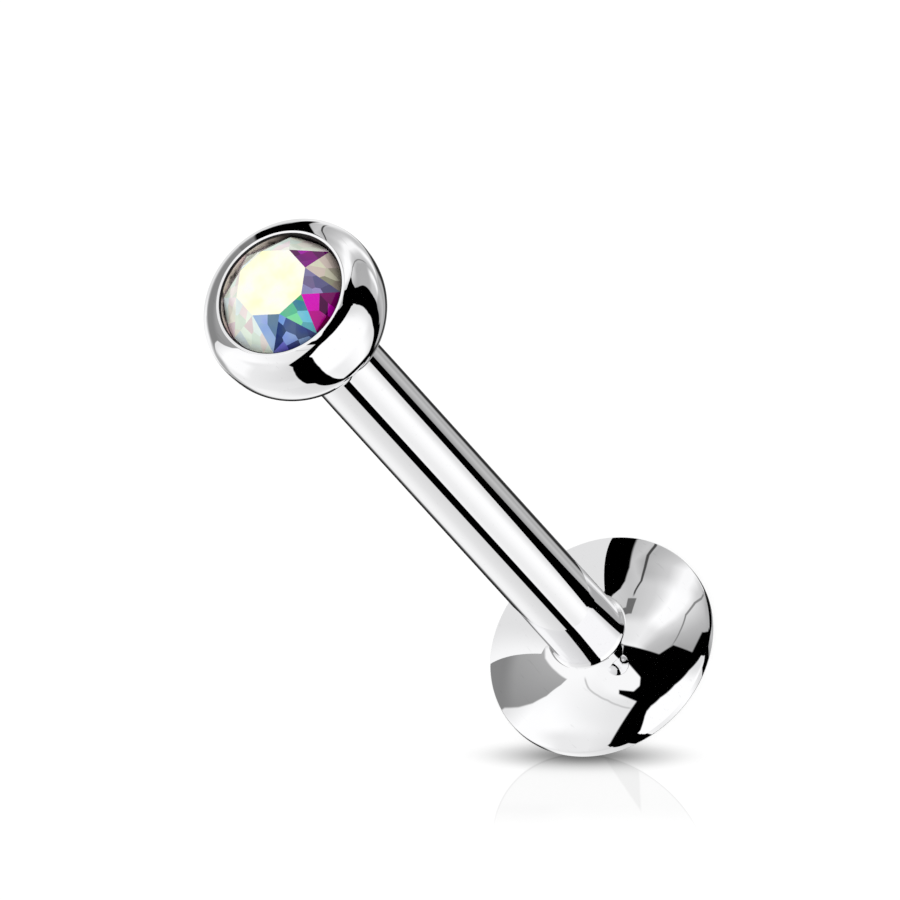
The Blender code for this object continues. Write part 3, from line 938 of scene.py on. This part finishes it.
def drawn_wire():
    """The pin's drawn wire: duller, with fine drawing lines along it."""
    made, tree, shader = new_material("drawn_wire")
    sums = Sums(tree)
    place = sums.node("ShaderNodeTexCoord").outputs["Object"]
    stretch = sums.node("ShaderNodeMapping")
    sums.feed(stretch.inputs["Vector"], place)
    stretch.inputs["Scale"].default_value = (1.0, 1.0, 0.04)
    lines = sums.node("ShaderNodeTexNoise")
    sums.feed(lines.inputs["Vector"], stretch.outputs["Vector"])
    lines.inputs["Scale"].default_value = WIRE_LINE_SCALE
    lines.inputs["Detail"].default_value = 3.0
    tone = sums.node("ShaderNodeMix", data_type="RGBA")
    tone.inputs["A"].default_value = (*WIRE_DARK, 1)
    tone.inputs["B"].default_value = (*WIRE_PALE, 1)
    sums.feed(tone.inputs["Factor"], lines.outputs["Fac"])
    sums.feed(shader.inputs["Base Color"], tone.outputs["Result"])
    sums.feed(shader.inputs["Roughness"], sums.add(0.14, sums.times(lines.outputs["Fac"], 0.16)))
    shader.inputs["Metallic"].default_value = 1.0
    bump = sums.node("ShaderNodeBump")
    bump.inputs["Strength"].default_value = 0.25
    bump.inputs["Distance"].default_value = 0.004 * MM
    sums.feed(bump.inputs["Height"], lines.outputs["Fac"])
    sums.feed(shader.inputs["Normal"], bump.outputs["Normal"])
    return made


def aurora_crystal():
    """Glassy facets over the coating's tints, which are painted reflections and drift a little inside each
    patch.
    """
    made, tree, shader = new_material("aurora_crystal")
    sums = Sums(tree)
    tint = sums.node("ShaderNodeAttribute", attribute_name="aurora_painted_reflection")
    place = sums.node("ShaderNodeTexCoord")
    cloud = sums.node("ShaderNodeTexNoise")
    sums.feed(cloud.inputs["Vector"], place.outputs["Object"])
    cloud.inputs["Scale"].default_value = CLOUD_SCALE
    cloud.inputs["Detail"].default_value = 3.0
    drift = sums.node("ShaderNodeHueSaturation")
    sums.feed(drift.inputs["Color"], tint.outputs["Color"])
    wander = sums.minus(cloud.outputs["Fac"], 0.5)
    facing = sums.node("ShaderNodeSeparateXYZ")
    sums.feed(facing.inputs[0], place.outputs["Normal"])
    table = sums.rise(facing.outputs["Z"], 0.97, 0.99)
    swing = sums.add(0.9, sums.times(table, 3.6))
    sums.feed(drift.inputs["Hue"], sums.add(0.5, sums.times(wander, 0.08)))
    sums.feed(drift.inputs["Saturation"], sums.add(1.05, sums.times(wander, swing)))
    sums.feed(drift.inputs["Value"], sums.add(0.94, sums.times(wander, 0.3)))
    sums.feed(shader.inputs["Base Color"], drift.outputs["Color"])
    shader.inputs["Roughness"].default_value = 0.03
    shader.inputs["IOR"].default_value = 1.54
    shader.inputs["Specular IOR Level"].default_value = 0.2
    return made


def recess_shade(stud):
    """The bezel's inner wall, which mirrors little: painted shade, near black, with brownish painted light
    in streaks on its far side under the lip.
    """
    made, tree, shader = new_material("painted_shade_steel")
    sums = Sums(tree)
    place = sums.node("ShaderNodeTexCoord").outputs["Object"]
    split = sums.node("ShaderNodeSeparateXYZ")
    sums.feed(split.inputs[0], place)
    x, y, z = split.outputs
    far_side = sums.rise(sums.minus(sums.times(y, 0.6), x), -0.3 * MM, 0.6 * MM)
    under_lip = sums.below(z, stud.rim_height - 1.5 * stud.lip_radius, 0.01 * MM)
    streaks = sums.node("ShaderNodeTexNoise")
    sums.feed(streaks.inputs["Vector"], place)
    streaks.inputs["Scale"].default_value = STREAK_SCALE
    streaks.inputs["Detail"].default_value = 3.0
    tint = sums.node("ShaderNodeMix", data_type="RGBA")
    tint.inputs["A"].default_value = (*RECESS_PAINTED_SHADE, 1)
    tint.inputs["B"].default_value = (*RECESS_PAINTED_LIGHT, 1)
    # Painted light in streaks on the far side under the lip; everywhere else the wall is painted shade
    lit = sums.both(far_side, under_lip, sums.rise(streaks.outputs["Fac"], 0.30, 0.55))
    sums.feed(tint.inputs["Factor"], lit)
    sums.feed(shader.inputs["Base Color"], tint.outputs["Result"])
    shader.inputs["Metallic"].default_value = 0.0
    shader.inputs["Roughness"].default_value = 0.35
    shader.inputs["Specular IOR Level"].default_value = 0.2
    return made


def build_floor():
    """The plain pale floor that the disc rests on. It isn't mirrored in the steel."""
    mesh = bpy.data.meshes.new("studio_floor")
    shape = bmesh.new()
    bmesh.ops.create_grid(shape, x_segments=1, y_segments=1, size=1.0)
    shape.to_mesh(mesh)
    shape.free()
    floor = bpy.data.objects.new("studio_floor", mesh)
    bpy.context.scene.collection.objects.link(floor)
    floor.visible_glossy = False
    mesh.materials.append(floor_with_painted_shadow())


def floor_with_painted_shadow():
    """White, with a painted soft contact shadow and a faint painted mirror image of the disc below the stud.
    """
    made, tree, shader = new_material("floor_with_painted_shadow")
    sums = Sums(tree)
    split = sums.node("ShaderNodeSeparateXYZ")
    place = sums.node("ShaderNodeTexCoord").outputs["Object"]
    sums.feed(split.inputs[0], place)
    x, y, _ = split.outputs
    right, up, _ = view_axes()
    across = sums.add(sums.times(x, right.x), sums.times(y, right.y))
    down = sums.minus(0.0, sums.add(sums.times(x, up.x), sums.times(y, up.y)))

    # The painted contact shadow
    side = sums.over(sums.minus(across, SHADOW_ACROSS), SHADOW_HALF_WIDTH)
    rise = sums.over(sums.minus(down, SHADOW_DOWN), SHADOW_HALF_HEIGHT)
    away = sums.add(sums.times(side, side), sums.times(rise, rise))
    shadow = sums.times(SHADOW_DEPTH, sums.maths("EXPONENT", sums.times(away, -1.0)))

    # The disc's painted mirror image: its body, rim, tail and wedge, fading out further down
    side = sums.minus(across, PAINTED_REFLECTION_ACROSS)
    rise = sums.minus(down, PAINTED_REFLECTION_DOWN)
    lean_side, lean_rise = math.cos(VIEW_ROLL), math.sin(VIEW_ROLL)
    long_way = sums.add(sums.times(side, lean_side), sums.times(rise, lean_rise))
    short_way = sums.minus(sums.times(side, lean_rise), sums.times(rise, lean_side))
    long_way = sums.over(long_way, PAINTED_REFLECTION_HALF_WIDTH)
    short_way = sums.over(short_way, PAINTED_REFLECTION_HALF_HEIGHT)
    reach = sums.maths("SQRT", sums.add(sums.times(long_way, long_way), sums.times(short_way, short_way)))
    body = sums.times(sums.below(reach, 0.995, 0.01), PAINTED_REFLECTION_BODY_DEPTH)
    rim = sums.times(sums.between(reach, 0.985, 1.0, 0.012), PAINTED_REFLECTION_RIM_DEPTH)
    past = sums.minus(down, PAINTED_REFLECTION_TAIL_DOWN)
    tail_start = sums.add(0.10 * MM, sums.times(past, 0.68))
    tail_end = sums.add(0.56 * MM, sums.times(past, 0.05))
    tail = sums.both(
        sums.rise(sums.minus(across, tail_start), 0.0, 0.06 * MM),
        sums.rise(sums.minus(tail_end, across), 0.0, 0.04 * MM),
        sums.below(reach, 0.985, 0.02),
    )
    wedge = sums.both(
        sums.rise(down, PAINTED_REFLECTION_WEDGE_DOWN, 1.08 * PAINTED_REFLECTION_WEDGE_DOWN),
        sums.minus(1.0, sums.rise(across, -1.0 * MM, -0.5 * MM)),
        sums.below(reach, 0.98, 0.02),
    )
    streaks = sums.add(sums.times(tail, PAINTED_REFLECTION_TAIL_DEPTH), sums.times(wedge, PAINTED_REFLECTION_WEDGE_DEPTH))
    painted_reflection = sums.add(sums.add(body, rim), streaks)
    painted_reflection = sums.times(painted_reflection, sums.minus(1.0, sums.rise(down, PAINTED_REFLECTION_FADE_START, PAINTED_REFLECTION_FADE_END)))

    level = sums.maths("MAXIMUM", sums.minus(sums.minus(1.0, shadow), painted_reflection), 0.0)
    tone = sums.over(sums.maths("POWER", level, 2.2), ROOM_LIGHT + FLOOR_GLOW)
    tone = sums.times(tone, sums.add(1.0, sums.times(sums.rise(level, 0.88, 1.0), FLOOR_LIFT)))
    grain = sums.node("ShaderNodeTexNoise")
    sums.feed(grain.inputs["Vector"], place)
    grain.inputs["Scale"].default_value = FLOOR_GRAIN
    tone = sums.times(tone, sums.add(0.995, sums.times(grain.outputs["Fac"], 0.01)))
    colour = sums.node("ShaderNodeCombineColor")
    for channel in colour.inputs:
        sums.feed(channel, tone)
    sums.feed(shader.inputs["Base Color"], colour.outputs["Color"])
    sums.feed(shader.inputs["Emission Color"], colour.outputs["Color"])
    shader.inputs["Emission Strength"].default_value = FLOOR_GLOW
    shader.inputs["Roughness"].default_value = 0.6
    shader.inputs["Specular IOR Level"].default_value = 0.0
    return made


def light_card(name, corners, levels):
    """A flat card that only mirrors see. From its left it fades from the first level to the second."""
    mesh = bpy.data.meshes.new(name)
    mesh.from_pydata(corners, [], [tuple(range(len(corners)))])
    card = bpy.data.objects.new(name, mesh)
    bpy.context.scene.collection.objects.link(card)
    card.visible_camera = False
    card.visible_diffuse = False
    card.visible_shadow = False
    made, tree, _ = new_material(name)
    tree.nodes.clear()
    sums = Sums(tree)
    split = sums.node("ShaderNodeSeparateXYZ")
    sums.feed(split.inputs[0], sums.node("ShaderNodeTexCoord").outputs["Object"])
    emission = sums.node("ShaderNodeEmission")
    emission.inputs["Color"].default_value = (1, 1, 1, 1)
    left = corners[0][0]
    fade = sums.rise(split.outputs["X"], left, left / 2)
    sums.feed(emission.inputs["Strength"], sums.mix(light(levels[0]), light(levels[1]), fade))
    out = sums.node("ShaderNodeOutputMaterial")
    sums.feed(out.inputs["Surface"], emission.outputs[0])
    mesh.materials.append(made)


def build_cards():
    """A bright card behind the stud, a black flag beside the ball, and a black wedge low on the right."""
    upright = [
        (REAR_CARD_START, REAR_CARD_DISTANCE, REAR_CARD_FOOT),
        (REAR_CARD_END, REAR_CARD_DISTANCE, REAR_CARD_FOOT),
        (REAR_CARD_END, REAR_CARD_DISTANCE, REAR_CARD_TOP),
        (REAR_CARD_START, REAR_CARD_DISTANCE, REAR_CARD_TOP),
    ]
    light_card("rear_card", upright, REAR_CARD_LEVELS)
    side = [(SIDE_FLAG_DISTANCE, y * MM, z * MM) for y, z in SIDE_FLAG_CORNERS]
    light_card("side_flag", side, BLACK)
    level = [(x * MM, -ahead * MM, WEDGE_HEIGHT) for x, ahead in WEDGE_CORNERS]
    light_card("low_wedge", level, BLACK)


def view_axes():
    """The picture's right, its up, and the way from the stud towards the camera."""
    towards = Vector((0, -math.sin(VIEW_TILT), math.cos(VIEW_TILT)))
    level_right = Vector((1, 0, 0))
    level_up = towards.cross(level_right)
    right = math.cos(VIEW_ROLL) * level_right - math.sin(VIEW_ROLL) * level_up
    up = math.sin(VIEW_ROLL) * level_right + math.cos(VIEW_ROLL) * level_up
    return right, up, towards


def build_camera():
    """A very long lens, so that the stud's two ends keep their sizes as in the picture."""
    right, up, towards = view_axes()
    middle = Vector((0, 0, AIM_HEIGHT)) + right * MIDDLE_ACROSS + up * MIDDLE_UP + towards * MIDDLE_DEPTH
    data = bpy.data.cameras.new("camera")
    data.lens = data.sensor_width / 2 / math.tan(HALF_VIEW)
    camera = bpy.data.objects.new("camera", data)
    bpy.context.scene.collection.objects.link(camera)
    camera.matrix_world = Matrix((
        (right.x, up.x, towards.x, 0),
        (right.y, up.y, towards.y, 0),
        (right.z, up.z, towards.z, 0),
        (0, 0, 0, 1),
    ))
    camera.location = middle + towards * (PICTURE_WIDTH / 2 / math.tan(HALF_VIEW))
    data.clip_start = 0.01
    bpy.context.scene.camera = camera


def main():
    for old in list(bpy.data.objects):
        bpy.data.objects.remove(old)
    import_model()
    stud = Stud()
    bpy.context.scene.view_settings.view_transform = "Standard"
    build_camera()
    build_world()
    build_floor()
    build_cards()

    post = settled(turned("polished_post_and_disc", post_profile(stud)))
    post.data.materials.append(plain_polish())
    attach(post, "post")
    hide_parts("post_and_disc")

    ball = turned("polished_ball_setting", ball_profile(stud))
    cut_nick(stud, ball)
    ball.data.materials.append(plain_polish())
    ball.data.materials.append(recess_shade(stud))
    shade_recess(stud, ball.data)
    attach(ball, "top")
    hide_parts("ball_setting")

    pin = build_pin(stud)
    pin.data.materials.append(drawn_wire())
    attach(pin, "top")
    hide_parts("bent_pin")

    stone = build_stone(stud)
    stone.data.materials.append(aurora_crystal())
    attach(stone, "top")
    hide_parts("crystal")


main()
